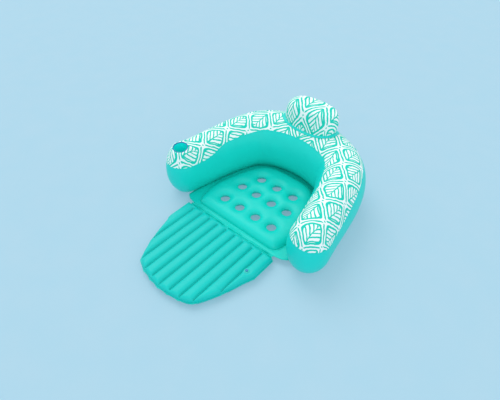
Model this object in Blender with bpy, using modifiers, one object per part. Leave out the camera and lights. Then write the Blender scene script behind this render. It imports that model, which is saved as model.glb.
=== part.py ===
"""Inflatable pool float: a horseshoe ring with a printed top, a seat pad with drain holes,
a folding footrest of ten tubes, a headrest pillow, a cup holder and four air valves.

Run with: blender --background --python part.py
Metres, +Z up. The front of the float, where the feet go, faces -Y.
"""
import math

import bmesh
import bpy
import numpy as np
from mathutils import Matrix, Vector
from mathutils.geometry import delaunay_2d_cdt, interpolate_bezier

# ---------------------------------------------------------------- driving dimensions
SHEET = 0.0012            # thickness the vinyl sheets are modelled at
WELD_GAP = 0.0004         # clearance kept between two sheets that are welded in reality
MID_PLANE = 0.034         # height of the welds of the seat, the hinge web and the footrest

# ring: its centre line from the right arm's end to the middle of the back, mirrored for the left
RING_SPINE = ((0.480, -0.0885), (0.392, 0.315), (0.269, 0.496), (0.0, 0.567))
SPINE_STEPS = 6           # steps between two points of the spine
NOSE_STEPS = 6            # steps round each arm's rounded end
HALF_WIDTH = (0.120, 0.168)      # at the arm ends, at the back
UPPER_HEIGHT = (0.1945, 0.216)   # widest line to crown
LOWER_HEIGHT = (0.1595, 0.181)   # widest line to underside
ROUNDNESS = 2.12          # superellipse exponent of the section
INNER_SEAM = (27.0, 44.0)        # print seam, degrees above the widest line
OUTER_SEAM = (21.0, 54.0)
BOTTOM_SEAM = -50.0
UNDERSIDE_FLAT = -75.0    # below this angle the underside lies flat on the ground

# seat
PAD_BORDER = ((0.0, -0.1565), (0.140, -0.1565), (0.265, -0.1565), (0.303, -0.136), (0.323, -0.080),
              (0.333, 0.000), (0.319, 0.097), (0.275, 0.246), (0.216, 0.352), (0.122, 0.404), (0.0, 0.411))
PAD_TOP = 0.072
PAD_BOTTOM = 0.010
SKIRT_FRONT = ((0.0, -0.1805), (0.325, -0.1805), (0.372, -0.170), (0.402, -0.150))
FOOT_CLEARANCE = 0.0030   # from the base sheet's edge to the foot of the ring's wall
DRAIN_RADIUS = 0.0300
DRAIN_STEPS = 16
DRAIN_RINGS = (0.0, 0.005, 0.018)        # rings of points round each drain hole, from its edge
BORDER_RINGS = (0.004, 0.014, 0.032)     # and inside the border
TOP_SHOULDER = 0.045      # how far from a weld the pad reaches its full height, top and underside
BASE_SHOULDER = 0.036
GRID_STEP = 0.030         # spacing of the pad's other points
GRID_START = 0.0263
GRID_REACH = 16           # rows and columns tried on each side of the middle
GRID_FROM_BORDER = 0.042
GRID_FROM_DRAIN = 0.026
DRAIN_HEIGHT = 0.050      # height of the weld round a drain hole
DRAIN_ROWS = ((-0.036, (-0.1865, -0.0635, 0.0635, 0.1865)),
              (0.117, (-0.180, -0.061, 0.061, 0.180)),
              (0.249, (-0.129, 0.0, 0.129)))

# footrest and its hinge
TUBE_PITCH = 0.0672
TUBE_COUNT = 10
FOOT_HINGE_Y = -0.2065
FOOT_TIP = ((0.336, -0.360), (0.316, -0.413), (0.288, -0.505), (0.243, -0.612), (0.202, -0.676),
            (0.135, -0.708), (0.0, -0.7269))
FOOT_TOP = 0.064
FOOT_BOTTOM = 0.0
CREASE_HEIGHT = 0.005     # half thickness left at a crease between two tubes
FOOT_FLANGE = 0.007       # width of the weld flange round the footrest
WEB_SIDE = 0.322          # half length of the hinge web

# headrest: footprint on the ring's back, and how far the pillow stands above it
PILLOW_CENTRE = (0.0, 0.567)
PILLOW_HALF = (0.174, 0.086)
PILLOW_TOP = 0.528
PILLOW_LEAN = 0.012       # how far the crown leans back
PILLOW_PROFILE = ((1.0, 0.0), (1.025, 0.26), (0.995, 0.60), (0.88, 0.87), (0.60, 0.985), (0.0, 1.0))
PILLOW_CURVE = 0.10       # how far the footprint's ends follow the ring forward, per metre squared
PILLOW_FLANGE = 0.011
PILLOW_LIFT = 0.0045       # base sheet and flange above the ring's skin, clear of its facets
COVER_LIFT = 0.0062

# cup holder
CUP_CENTRE = (-0.470, -0.112)
CUP_RADIUS = 0.0415
CUP_DEPTH = 0.088
CUP_RIM_WIDTH = 0.0055
CUP_WALL = 0.0015

# valves
FLANGE_RADIUS = 0.0125
STEM_RADIUS = 0.0064
STEM_BORE = 0.0044
STEM_LENGTH = 0.0150
STEM_PROUD = 0.0030
PLUG_RADIUS = 0.0040
PLUG_HEAD = 0.0072
RUNNING_GAP = 0.0004

TEAL = (0.010, 0.560, 0.480)
TEAL_LIGHT = (0.030, 0.640, 0.570)
PRINT = (0.400, 0.870, 0.800)
BLUE = (0.010, 0.230, 0.420)
CUP_TEAL = (0.005, 0.460, 0.450)


# ---------------------------------------------------------------- scene, materials, objects
def clear_scene():
    for obj in list(bpy.data.objects):
        bpy.data.objects.remove(obj, do_unlink=True)


def make_collection(name):
    collection = bpy.data.collections.new(name)
    bpy.context.scene.collection.children.link(collection)
    return collection


def make_material(name, colour, roughness):
    material = bpy.data.materials.new(name)
    material.use_nodes = True
    shader = material.node_tree.nodes["Principled BSDF"]
    shader.inputs["Base Color"].default_value = (*colour, 1.0)
    shader.inputs["Roughness"].default_value = roughness
    shader.inputs["Metallic"].default_value = 0.0
    material.diffuse_color = (*colour, 1.0)
    return material


def add_object(name, mesh, colour, roughness=0.3, parent=None):
    """Put a mesh in the parts collection with a material of its own."""
    obj = bpy.data.objects.new(name, mesh)
    PARTS.objects.link(obj)
    mesh.materials.append(make_material(name + "_material", colour, roughness))
    if parent is not None:
        obj.parent = parent
    return obj


def mesh_from(bm, name):
    mesh = bpy.data.meshes.new(name)
    bm.to_mesh(mesh)
    bm.free()
    return mesh


def solidify(obj, thickness=SHEET):
    modifier = obj.modifiers.new("Thickness", "SOLIDIFY")
    modifier.thickness = thickness
    modifier.offset = 0.0
    modifier.use_even_offset = True
    return obj


def cut(obj, cutter):
    modifier = obj.modifiers.new("Cut " + cutter.name, "BOOLEAN")
    modifier.operation = "DIFFERENCE"
    modifier.object = cutter
    return obj


def loft_mesh(name, rows, closed, cap_last=False):
    """Skin rows of points. Rows run round the shape; coinciding points are merged."""
    bm = bmesh.new()
    grid = [[bm.verts.new(point) for point in row] for row in rows]
    pairs = list(zip(grid[:-1], grid[1:]))
    if closed:
        pairs.append((grid[-1], grid[0]))
    for first, second in pairs:
        for k in range(len(first) - 1):
            bm.faces.new((first[k], first[k + 1], second[k + 1], second[k]))
    if cap_last:
        bm.faces.new([row[-1] for row in grid])
    bmesh.ops.remove_doubles(bm, verts=bm.verts, dist=0.00002)
    bmesh.ops.recalc_face_normals(bm, faces=bm.faces)
    return mesh_from(bm, name)


def lathe(name, profile, colour, segments=32, roughness=0.3, parent=None, closed=True):
    """Turn an outline of (radius, height) points round Z with a Screw modifier.

    The outline is listed anticlockwise; Screw's faces point outwards when it runs clockwise.
    """
    bm = bmesh.new()
    verts = [bm.verts.new((radius, 0.0, height)) for radius, height in reversed(profile)]
    for first, second in zip(verts[:-1], verts[1:]):
        bm.edges.new((first, second))
    if closed:
        bm.edges.new((verts[-1], verts[0]))
    obj = add_object(name, mesh_from(bm, name), colour, roughness, parent)
    screw = obj.modifiers.new("Turn", "SCREW")
    screw.steps = segments
    screw.render_steps = segments
    screw.use_merge_vertices = True
    screw.merge_threshold = 0.00005
    return obj


def mirrored_outline(half):
    """A closed outline from its +X half, which starts and ends on the mirror plane."""
    left = [(-x, y) for x, y in reversed(half[1:-1])]
    return list(half) + left


def smooth_outline(points, count):
    """Resample a closed outline to evenly spaced points on a smooth curve through it."""
    dense = []
    total = len(points)
    for k in range(total):
        before, start, end, after = (Vector((*points[(k + step) % total], 0.0)) for step in (-1, 0, 1, 2))
        dense += interpolate_bezier(start, start + (end - before) / 6, end - (after - start) / 6, end, 9)[:-1]
    ring = np.array([(point.x, point.y) for point in dense + dense[:1]])
    length = np.concatenate([[0.0], np.cumsum(np.linalg.norm(np.diff(ring, axis=0), axis=1))])
    at = np.linspace(0.0, length[-1], count, endpoint=False)
    return np.stack([np.interp(at, length, ring[:, 0]), np.interp(at, length, ring[:, 1])], axis=1)


def inset(outline, distance):
    """Move a closed anticlockwise outline inwards; a negative distance moves it outwards."""
    ahead = np.roll(outline, -1, axis=0) - np.roll(outline, 1, axis=0)
    ahead /= np.linalg.norm(ahead, axis=1)[:, None]
    inward = np.stack([-ahead[:, 1], ahead[:, 0]], axis=1)
    return outline + inward * distance


# ---------------------------------------------------------------- ring
def spine_points():
    """The ring's centre line from the right arm's end, round the back, to the left arm's end."""
    right = [Vector((x, y, 0.0)) for x, y in RING_SPINE]
    before = [2 * right[0] - right[1]] + right[:-1]
    after = right[1:] + [Vector((-right[-2].x, right[-2].y, 0.0))]
    slopes = [(late - early) / 6 for early, late in zip(before, after)]
    half = []
    for k in range(len(right) - 1):
        half += interpolate_bezier(right[k], right[k] + slopes[k], right[k + 1] - slopes[k + 1],
                                   right[k + 1], SPINE_STEPS + 1)[:-1]
    half.append(right[-1])
    left = [Vector((-point.x, point.y, 0.0)) for point in reversed(half[:-1])]
    return np.array([(point.x, point.y) for point in half + left])


def spine_fraction(points):
    """0 at the arm ends, 1 at the middle of the back, eased."""
    length = np.concatenate([[0.0], np.cumsum(np.linalg.norm(np.diff(points, axis=0), axis=1))])
    way = np.minimum(length, length[-1] - length) / (length[-1] / 2)
    return way * way * (3 - 2 * way)


def between(ends, fraction):
    return ends[0] + (ends[1] - ends[0]) * fraction


def ring_stations():
    """Every place round the ring's outline: centre, outward direction, fraction, inner share.

    The order is: outer side from right to left, round the left arm's end, inner side from
    left to right, round the right arm's end.
    """
    spine = spine_points()
    fraction = spine_fraction(spine)
    ahead = np.gradient(spine, axis=0)
    ahead /= np.linalg.norm(ahead, axis=1)[:, None]
    side = np.stack([ahead[:, 1], -ahead[:, 0]], axis=1)
    last = len(spine) - 1
    stations = [(spine[k], side[k], fraction[k], 0.0) for k in range(last + 1)]
    turns = [math.pi * step / NOSE_STEPS for step in range(1, NOSE_STEPS)]
    stations += [(spine[last], side[last] * math.cos(turn) + ahead[last] * math.sin(turn), 0.0,
                  (1 - math.cos(turn)) / 2) for turn in turns]
    stations += [(spine[k], -side[k], fraction[k], 1.0) for k in range(last, -1, -1)]
    stations += [(spine[0], -side[0] * math.cos(turn) - ahead[0] * math.sin(turn), 0.0,
                  (1 + math.cos(turn)) / 2) for turn in turns]
    return stations


def ring_point(station, degrees):
    """The point of the ring's skin at an angle of the section: 90 is the crown, 0 the widest."""
    centre, direction, fraction, _ = station
    angle = math.radians(degrees)
    power = 2 / ROUNDNESS
    reach = between(HALF_WIDTH, fraction) * max(0.0, math.cos(angle)) ** power
    rise = abs(math.sin(angle)) ** power
    lower = between(LOWER_HEIGHT, fraction)
    if degrees >= 0.0:
        height = lower + between(UPPER_HEIGHT, fraction) * rise
    elif degrees <= UNDERSIDE_FLAT:
        height = SHEET / 2
    else:
        height = max(lower * (1 - rise), SHEET / 2)
    x, y = centre + direction * reach
    return (x, y, height)


def seam_angle(station):
    _, _, fraction, inner = station
    inner_angle = between(INNER_SEAM, min(1.0, 3 * fraction))
    return between(OUTER_SEAM, fraction) * (1 - inner) + inner_angle * inner


def ring_panel(name, first_angle, last_angle, steps, colour, stations, closed=True):
    rows = [[ring_point(station, between((first_angle(station), last_angle(station)), step / steps))
             for step in range(steps + 1)] for station in stations]
    return solidify(add_object(name, loft_mesh(name, rows, closed), colour))


def make_ring():
    stations = ring_stations()
    gap = math.degrees(WELD_GAP / HALF_WIDTH[0])

    top = ring_panel("ring_top_panel", lambda s: 90.0, lambda s: seam_angle(s) + gap, 4, PRINT, stations)
    bottom = ring_panel("ring_bottom_panel", lambda s: BOTTOM_SEAM - gap, lambda s: -90.0, 3, TEAL, stations)
    bottom_rows_are_flat(bottom)

    outer_count = len(spine_points())
    inner = stations[outer_count:] + stations[:1]
    outer = stations[:outer_count]
    wall = (lambda s: seam_angle(s) - gap, lambda s: BOTTOM_SEAM + gap, 5, TEAL)
    inner_wall = ring_panel("ring_inner_wall", *wall, pulled_back(inner), closed=False)
    outer_wall = ring_panel("ring_outer_wall", *wall, pulled_back(outer), closed=False)
    return top, inner_wall, outer_wall


def pulled_back(stations):
    """Move a wall's two end stations in by the weld gap, so that two walls don't touch."""
    moved = list(stations)
    for end, neighbour in ((0, 1), (-1, -2)):
        centre, direction, fraction, inner = stations[end]
        near = np.array(stations[neighbour][0]) + np.array(stations[neighbour][1]) * HALF_WIDTH[0]
        step = near - (centre + direction * HALF_WIDTH[0])
        shift = step / np.linalg.norm(step) * WELD_GAP
        moved[end] = (centre + shift, direction, fraction, inner)
    return moved


def bottom_rows_are_flat(bottom):
    """Level the underside's strip, which the float stands on."""
    for vertex in bottom.data.vertices:
        if vertex.co.z < SHEET:
            vertex.co.z = SHEET / 2


def ring_height(x, y):
    """Height of the ring's upper skin over a point."""
    spine = spine_points()
    fraction = spine_fraction(spine)
    ends = zip(spine[:-1], spine[1:], fraction[:-1], fraction[1:])
    best = (1.0, 0.0)
    for start, end, first, second in ends:
        along = end - start
        share = float(np.clip(np.dot((x, y) - start, along) / np.dot(along, along), 0.0, 1.0))
        distance = float(np.linalg.norm((x, y) - (start + along * share)))
        best = min(best, (distance, between((first, second), share)))
    distance, share = best
    inside = max(0.0, 1 - (distance / between(HALF_WIDTH, share)) ** ROUNDNESS)
    return between(LOWER_HEIGHT, share) + between(UPPER_HEIGHT, share) * inside ** (1 / ROUNDNESS)


# ---------------------------------------------------------------- seat
def drain_centres():
    return [(x, y) for y, row in DRAIN_ROWS for x in row]


def drain_ring(centre, radius):
    """The points of a circle round a drain hole."""
    turns = [2 * math.pi * step / DRAIN_STEPS for step in range(DRAIN_STEPS)]
    return [(centre[0] + radius * math.cos(turn), centre[1] + radius * math.sin(turn)) for turn in turns]


def distance_to_outline(x, y, outline):
    """Distance from a point to the nearest side of a closed outline."""
    start = np.asarray(outline)
    side = np.roll(start, -1, axis=0) - start
    to_point = (x, y) - start
    share = np.clip(np.sum(to_point * side, axis=1) / np.sum(side * side, axis=1), 0.0, 1.0)
    return float(np.min(np.linalg.norm(to_point - side * share[:, None], axis=1)))


def is_inside(x, y, outline):
    """Whether a point is inside a closed outline: a line from it crosses the sides an odd number of times."""
    start = np.asarray(outline)
    end = np.roll(start, -1, axis=0)
    crossed = (start[:, 1] > y) != (end[:, 1] > y)
    start, end = start[crossed], end[crossed]
    at = start[:, 0] + (y - start[:, 1]) / (end[:, 1] - start[:, 1]) * (end[:, 0] - start[:, 0])
    return int(np.sum(x < at)) % 2 == 1


def distance_to_drain(x, y):
    return min(math.hypot(x - cx, y - cy) for cx, cy in drain_centres()) - DRAIN_RADIUS


def pad_height(x, y, pad, shoulder, face, lift):
    """Height of a pad sheet, which leaves its welds and reaches its face's height a shoulder away."""
    to_drain = max(distance_to_drain(x, y), 0.0)
    to_border = distance_to_outline(x, y, pad) if is_inside(x, y, pad) else 0.0
    drain_share = to_border / max(to_border + to_drain, 0.0001)
    weld = MID_PLANE + (DRAIN_HEIGHT - MID_PLANE) * drain_share + lift
    near = min(to_drain, to_border, shoulder) / shoulder
    return weld + (face - weld) * math.sqrt(1 - (1 - near) ** 2)


def pad_grid(pad):
    """Points spread over the pad in a triangular grid, clear of its border and its drain holes."""
    points = []
    for row in range(-GRID_REACH, GRID_REACH):
        y = GRID_START + row * GRID_STEP * math.sqrt(3) / 2
        shift = GRID_STEP / 2 * (1 - row % 2)
        for column in range(-GRID_REACH, GRID_REACH):
            x = column * GRID_STEP + shift
            off_border = distance_to_outline(x, y, pad) > GRID_FROM_BORDER
            off_drains = distance_to_drain(x, y) > GRID_FROM_DRAIN
            if is_inside(x, y, pad) and off_border and off_drains:
                points.append((x, y))
    return points


def add_cutter(name, mesh):
    obj = bpy.data.objects.new(name, mesh)
    CUTTERS.objects.link(obj)
    obj.hide_render = True
    obj.display_type = "WIRE"
    return obj


def pad_outline():
    """The pad's border weld: a straight front edge and a smooth curve round the back."""
    outline = smooth_outline(mirrored_outline(PAD_BORDER), 56)
    outline[:, 1] = np.maximum(outline[:, 1], PAD_BORDER[0][1])
    return outline


def skirt_outline(pad):
    """The base sheet's edge: it follows the foot of the ring's inner wall, then the front."""
    stations = ring_stations()
    outer_count = len(spine_points())
    inner = stations[outer_count + NOSE_STEPS - 1: -(NOSE_STEPS - 1)]
    reach = [wall_foot_reach(s[2]) + FOOT_CLEARANCE for s in inner]
    foot = np.array([s[0] + s[1] * r for s, r in zip(inner, reach)])
    foot = foot[::-1]
    front_left = [(-x, y) for x, y in reversed(SKIRT_FRONT[1:])]
    edge = list(SKIRT_FRONT) + [tuple(point) for point in foot] + front_left
    ring = np.array(edge + edge[:1])
    length = np.concatenate([[0.0], np.cumsum(np.linalg.norm(np.diff(ring, axis=0), axis=1))])
    angle = np.arctan2(*(pad - (0.0, 0.12)).T[::-1])
    ring_angle = np.unwrap(np.arctan2(*(ring - (0.0, 0.12)).T[::-1]))
    pad_angle = np.unwrap(angle)
    pad_angle += 2 * math.pi * round((ring_angle[0] - pad_angle[0]) / (2 * math.pi))
    at = np.interp(pad_angle, ring_angle, length)
    return np.stack([np.interp(at, length, ring[:, 0]), np.interp(at, length, ring[:, 1])], axis=1)


def wall_foot_reach(fraction):
    """Distance from the ring's centre line to its lower skin at the height of the mid plane."""
    rise = 1 - MID_PLANE / between(LOWER_HEIGHT, fraction)
    return between(HALF_WIDTH, fraction) * (1 - rise ** ROUNDNESS) ** (1 / ROUNDNESS)


def at_height(outline, height):
    return [(x, y, height) for x, y in outline]


def sheet_between_welds(name, loops, pad, height):
    """A sheet over the first loop's inside, with the drain holes left out."""
    drains = [drain_ring(centre, DRAIN_RADIUS + out) for centre in drain_centres() for out in DRAIN_RINGS]
    points = []
    edges = []
    for loop in [list(map(tuple, loop)) for loop in loops] + drains:
        first = len(points)
        points += loop
        edges += [(first + k, first + (k + 1) % len(loop)) for k in range(len(loop))]
    points += pad_grid(pad)
    flat, _, faces, _, _, _ = delaunay_2d_cdt([Vector(point) for point in points], edges, [], 1, 1e-7)
    bm = bmesh.new()
    verts = [bm.verts.new((point.x, point.y, height(point.x, point.y))) for point in flat]
    for face in faces:
        centre = sum((flat[k] for k in face), Vector((0.0, 0.0))) / len(face)
        if distance_to_drain(*centre) > 0.0:
            bm.faces.new([verts[k] for k in face])
    bmesh.ops.delete(bm, geom=[vert for vert in verts if not vert.link_faces], context="VERTS")
    bmesh.ops.recalc_face_normals(bm, faces=bm.faces)
    return mesh_from(bm, name)


def make_seat():
    """Two sheets, welded to each other round the border and round each drain hole."""
    pad = pad_outline()
    lift = SHEET / 2 + WELD_GAP / 2
    inner_loops = [inset(pad, distance) for distance in BORDER_RINGS]

    def top_height(x, y):
        return pad_height(x, y, pad, TOP_SHOULDER, PAD_TOP - SHEET / 2, lift)

    def base_height(x, y):
        return pad_height(x, y, pad, BASE_SHOULDER, PAD_BOTTOM + SHEET / 2, -lift)

    top = sheet_between_welds("seat_top_sheet", [pad] + inner_loops, pad, top_height)
    solidify(add_object("seat_top_sheet", top, TEAL_LIGHT))
    base = sheet_between_welds("seat_base_sheet", [skirt_outline(pad), pad] + inner_loops, pad, base_height)
    return solidify(add_object("seat_base_sheet", base, TEAL))


# ---------------------------------------------------------------- footrest
def foot_front(x):
    """Where the footrest ends, towards the feet, at a distance from its middle."""
    xs = [point[0] for point in reversed(FOOT_TIP)]
    ys = [point[1] for point in reversed(FOOT_TIP)]
    return float(np.interp(abs(x), xs, ys))


def tube_columns():
    """X of each column of the footrest's grid, and how full the tube is there, 0 to 1."""
    half = TUBE_PITCH * TUBE_COUNT / 2
    across = [0.0, 0.13, 0.5, 0.87]
    columns = [(-half + (tube + step) * TUBE_PITCH, math.sqrt(max(0.0, 1 - (2 * step - 1) ** 2)))
               for tube in range(TUBE_COUNT) for step in across]
    columns.append((half, 0.0))
    return columns


def foot_sheet(name, reach, colour):
    """One skin of the footrest. reach is a full tube's height above its edge weld, signed."""
    side = math.copysign(1.0, reach)
    edge = MID_PLANE + side * (SHEET / 2 + WELD_GAP / 2)
    along = (0.0, 0.035, 0.12, 0.5, 0.88, 0.965, 1.0)
    end_fill = (0.0, 0.62, 1.0, 1.0, 1.0, 0.62, 0.0)
    columns = tube_columns()
    rows = []
    for index, (x, fill) in enumerate(columns):
        outermost = index in (0, len(columns) - 1)
        front = foot_front(x)
        row = []
        for share, end in zip(along, end_fill):
            y = FOOT_HINGE_Y + (front - FOOT_HINGE_Y) * share
            crease = 0.0 if outermost else side * CREASE_HEIGHT
            swell = (crease + (reach - crease) * fill) * end
            row.append((x, y, edge + swell))
        rows.append(row)
    return solidify(add_object(name, loft_mesh(name, rows, closed=False), colour))


def foot_outline():
    """The footrest's outline, anticlockwise from the hinge's left corner."""
    half = TUBE_PITCH * TUBE_COUNT / 2
    right = [(x, y) for x, y in reversed(FOOT_TIP)]
    left = [(-x, y) for x, y in FOOT_TIP[:-1]]
    return np.array([(-half, FOOT_HINGE_Y)] + left + right + [(half, FOOT_HINGE_Y)])


def make_footrest():
    top_reach = FOOT_TOP - MID_PLANE - SHEET - WELD_GAP / 2
    bottom_reach = FOOT_BOTTOM - MID_PLANE + SHEET + WELD_GAP / 2
    top = foot_sheet("footrest_top_sheet", top_reach, TEAL_LIGHT)
    foot_sheet("footrest_bottom_sheet", bottom_reach, TEAL)
    outline = foot_outline()
    inner = inset(outline, -(WELD_GAP + SHEET / 2))
    outer = inset(outline, -FOOT_FLANGE)
    inner[[0, -1], 1] = FOOT_HINGE_Y
    outer[[0, -1], 1] = FOOT_HINGE_Y
    band = np.concatenate([outer, inner[::-1]])
    flat_strip("footrest_weld_flange", band, MID_PLANE, TEAL)
    return top


def flat_strip(name, outline, height, colour):
    """A flat sheet of one closed outline, from a filled 2D curve."""
    curve = bpy.data.curves.new(name + "_curve", "CURVE")
    curve.dimensions = "2D"
    curve.fill_mode = "BOTH"
    curve.extrude = SHEET / 2
    spline = curve.splines.new("POLY")
    spline.points.add(len(outline) - 1)
    spline.use_cyclic_u = True
    for point, (x, y) in zip(spline.points, outline):
        point.co = (x, y, 0.0, 1.0)
    temporary = bpy.data.objects.new(name + "_curve", curve)
    bpy.context.scene.collection.objects.link(temporary)
    mesh = bpy.data.meshes.new_from_object(temporary.evaluated_get(bpy.context.evaluated_depsgraph_get()))
    bpy.data.objects.remove(temporary, do_unlink=True)
    bm = bmesh.new()
    bm.from_mesh(mesh)
    bmesh.ops.remove_doubles(bm, verts=bm.verts, dist=0.00002)
    bm.to_mesh(mesh)
    bm.free()
    mesh.materials.clear()
    obj = add_object(name, mesh, colour)
    obj.location.z = height
    return obj


def make_hinge_web():
    back = SKIRT_FRONT[0][1] - WELD_GAP
    front = FOOT_HINGE_Y + SHEET
    outline = [(-WEB_SIDE, back), (-WEB_SIDE, front), (WEB_SIDE, front), (WEB_SIDE, back)]
    return flat_strip("footrest_hinge_web", outline, MID_PLANE, TEAL)


# ---------------------------------------------------------------- headrest
def pillow_outline(scale):
    """The pillow's oval footprint, bent to follow the ring's curve."""
    points = []
    for turn in np.linspace(0, 2 * math.pi, 32, endpoint=False):
        across = math.copysign(abs(math.cos(turn)) ** 0.66, math.cos(turn))
        deep = math.copysign(abs(math.sin(turn)) ** 0.78, math.sin(turn))
        x = PILLOW_CENTRE[0] + PILLOW_HALF[0] * scale * across
        y = PILLOW_CENTRE[1] + PILLOW_HALF[1] * scale * deep - PILLOW_CURVE * x * x
        points.append((x, y))
    return np.array(points)


def on_ring(outline, lift):
    return [(x, y, ring_height(x, y) + lift) for x, y in outline]


def pillow_level(share, rise):
    """Points round the pillow's skin, at a rise from its foot (0) to its crown (1)."""
    loop = pillow_outline(share) + (0.0, PILLOW_LEAN * rise)
    feet = on_ring(pillow_outline(1.0), COVER_LIFT)
    crown = PILLOW_TOP - SHEET / 2
    return [Vector((x, y, foot[2] + (crown - foot[2]) * rise)) for (x, y), foot in zip(loop, feet)]


def pillow_back():
    """Middle and outward direction of a facet on the pillow's back, for its valve."""
    low = pillow_level(*PILLOW_PROFILE[1])[5:7]
    high = pillow_level(*PILLOW_PROFILE[2])[5:7]
    outward = (low[1] - low[0]).cross(high[0] - low[0]).normalized()
    middle = (low[0] + low[1] + high[0] + high[1]) / 4
    return middle + outward * SHEET / 2, outward


def make_headrest():
    cover_loops = [pillow_level(share, rise) for share, rise in PILLOW_PROFILE]
    cover = loft_mesh("headrest_cover", list(zip(*cover_loops)), closed=True)
    cover = solidify(add_object("headrest_cover", cover, PRINT))

    sheet_loops = [on_ring(pillow_outline(share), PILLOW_LIFT) for share in (0.985, 0.75, 0.5, 0.25, 0.0)]
    sheet = loft_mesh("headrest_base_sheet", list(zip(*sheet_loops)), closed=True)
    solidify(add_object("headrest_base_sheet", sheet, TEAL), SHEET / 2)

    outer = 1 + PILLOW_FLANGE / PILLOW_HALF[1]
    flange_loops = [on_ring(pillow_outline(share), PILLOW_LIFT) for share in (1.02, outer)]
    flange = loft_mesh("headrest_weld_flange", list(zip(*flange_loops)), closed=True)
    solidify(add_object("headrest_weld_flange", flange, TEAL))
    return cover


# ---------------------------------------------------------------- cup holder
def make_cup_holder(top_panel):
    x, y = CUP_CENTRE
    crown = ring_height(x, y)
    rim_outer = CUP_RADIUS + CUP_RIM_WIDTH
    bm = bmesh.new()
    bmesh.ops.create_cone(bm, cap_ends=True, segments=32, radius1=rim_outer + WELD_GAP,
                          radius2=rim_outer + WELD_GAP, depth=0.12,
                          matrix=Matrix.Translation((x, y, crown)))
    cut(top_panel, add_cutter("cup_cutter", mesh_from(bm, "cup_cutter")))

    centre = bpy.data.objects.new("cup_holder_centre", None)
    PARTS.objects.link(centre)
    centre.location = (x, y, crown)

    rim_profile = [(rim_outer, -0.026), (rim_outer, 0.001), (rim_outer - 0.0012, 0.0025),
                   (CUP_RADIUS + 0.0012, 0.0025), (CUP_RADIUS, 0.001), (CUP_RADIUS, -0.004),
                   (CUP_RADIUS + 0.0016, -0.006), (CUP_RADIUS + 0.0030, -0.026)]
    lathe("cup_holder_rim", rim_profile, BLUE, parent=centre)

    top_radius = CUP_RADIUS - WELD_GAP
    floor_radius = CUP_RADIUS - 0.0050
    cup_profile = [(0.0, -CUP_DEPTH), (floor_radius, -CUP_DEPTH), (top_radius, -0.004), (top_radius, 0.0),
                   (top_radius - CUP_WALL, 0.0), (floor_radius - CUP_WALL, -CUP_DEPTH + CUP_WALL),
                   (0.0, -CUP_DEPTH + CUP_WALL)]
    lathe("cup_holder_cup", cup_profile, CUP_TEAL, parent=centre, closed=False)


# ---------------------------------------------------------------- valves
def make_valve(name, panel, place, outward):
    """A valve welded into a panel: flange, sliding stem, plug and non-return flap."""
    socket = bpy.data.objects.new(name + "_valve_seat", None)
    PARTS.objects.link(socket)
    facing = Vector(outward).to_track_quat("Z", "Y").to_matrix().to_4x4()
    socket.matrix_world = Matrix.Translation(place) @ facing

    bm = bmesh.new()
    radius = FLANGE_RADIUS + WELD_GAP
    bmesh.ops.create_cone(bm, cap_ends=True, segments=24, radius1=radius, radius2=radius, depth=0.03)
    cutter = add_cutter(name + "_valve_cutter", mesh_from(bm, name + "_valve_cutter"))
    cutter.matrix_world = socket.matrix_world
    cut(panel, cutter)

    bore = STEM_RADIUS + RUNNING_GAP
    collar = bore + 0.0016
    flange = [(bore, -0.0050), (collar, -0.0050), (collar, -0.0010), (FLANGE_RADIUS, -0.0006),
              (FLANGE_RADIUS, 0.0006), (collar, 0.0014), (bore, 0.0014)]
    lathe(name + "_valve_flange", flange, BLUE, 16, parent=socket)

    low = STEM_PROUD - STEM_LENGTH
    stem = [(STEM_BORE, low), (STEM_RADIUS, low), (STEM_RADIUS, STEM_PROUD), (STEM_BORE, STEM_PROUD)]
    lathe(name + "_valve_stem", stem, BLUE, 16, parent=socket)

    head = STEM_PROUD + RUNNING_GAP
    plug = [(0.0, head - 0.007), (PLUG_RADIUS, head - 0.006), (PLUG_RADIUS, head), (PLUG_HEAD, head),
            (PLUG_HEAD, head + 0.0016), (PLUG_HEAD - 0.0008, head + 0.0022), (0.0, head + 0.0022)]
    lathe(name + "_valve_plug", plug, BLUE, 16, parent=socket, closed=False)

    hinge = bpy.data.objects.new(name + "_flap_hinge", None)
    PARTS.objects.link(hinge)
    hinge.parent = socket
    hinge.location = (0.0, STEM_RADIUS, low - RUNNING_GAP)
    flap_radius = STEM_RADIUS - 0.0004
    flap = [(0.0, -0.0008), (flap_radius, -0.0008), (flap_radius, 0.0), (0.0, 0.0)]
    flap_object = lathe(name + "_valve_flap", flap, BLUE, 16, parent=hinge, closed=False)
    flap_object.location = (0.0, -STEM_RADIUS, 0.0)


def make_valves(outer_wall, seat_base, foot_top, headrest_cover):
    station = ring_stations()[SPINE_STEPS * 2 + 3]
    wall_point = Vector(ring_point(station, -8.0))
    wall_outward = Vector((*station[1], 0.0))
    make_valve("ring", outer_wall, wall_point, wall_outward)
    make_valve("seat", seat_base, (0.245, 0.040, PAD_BOTTOM + SHEET / 2), (0.0, 0.0, -1.0))
    make_valve("footrest", foot_top, (0.289, -0.366, FOOT_TOP - 0.0025), (0.0, 0.0, 1.0))
    make_valve("headrest", headrest_cover, *pillow_back())


clear_scene()
PARTS = make_collection("inflatable_pool_float")
CUTTERS = make_collection("cutters")
top_panel, inner_wall_panel, outer_wall_panel = make_ring()
seat_base_sheet = make_seat()
footrest_top_sheet = make_footrest()
make_hinge_web()
headrest_cover_sheet = make_headrest()
make_cup_holder(top_panel)
make_valves(outer_wall_panel, seat_base_sheet, footrest_top_sheet, headrest_cover_sheet)
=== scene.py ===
"""Looks of the inflatable pool float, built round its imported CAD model.

The ring, seat, footrest and headrest are rebuilt as smooth puffed vinyl from the same curves as the
CAD sheets, with their welds, creases and puckers. All sizes are in metres, in the CAD model's frame.
"""
import math

import bmesh
import bpy
import numpy as np
from mathutils import Matrix, Vector, noise
from mathutils.geometry import delaunay_2d_cdt, interpolate_bezier


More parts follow.
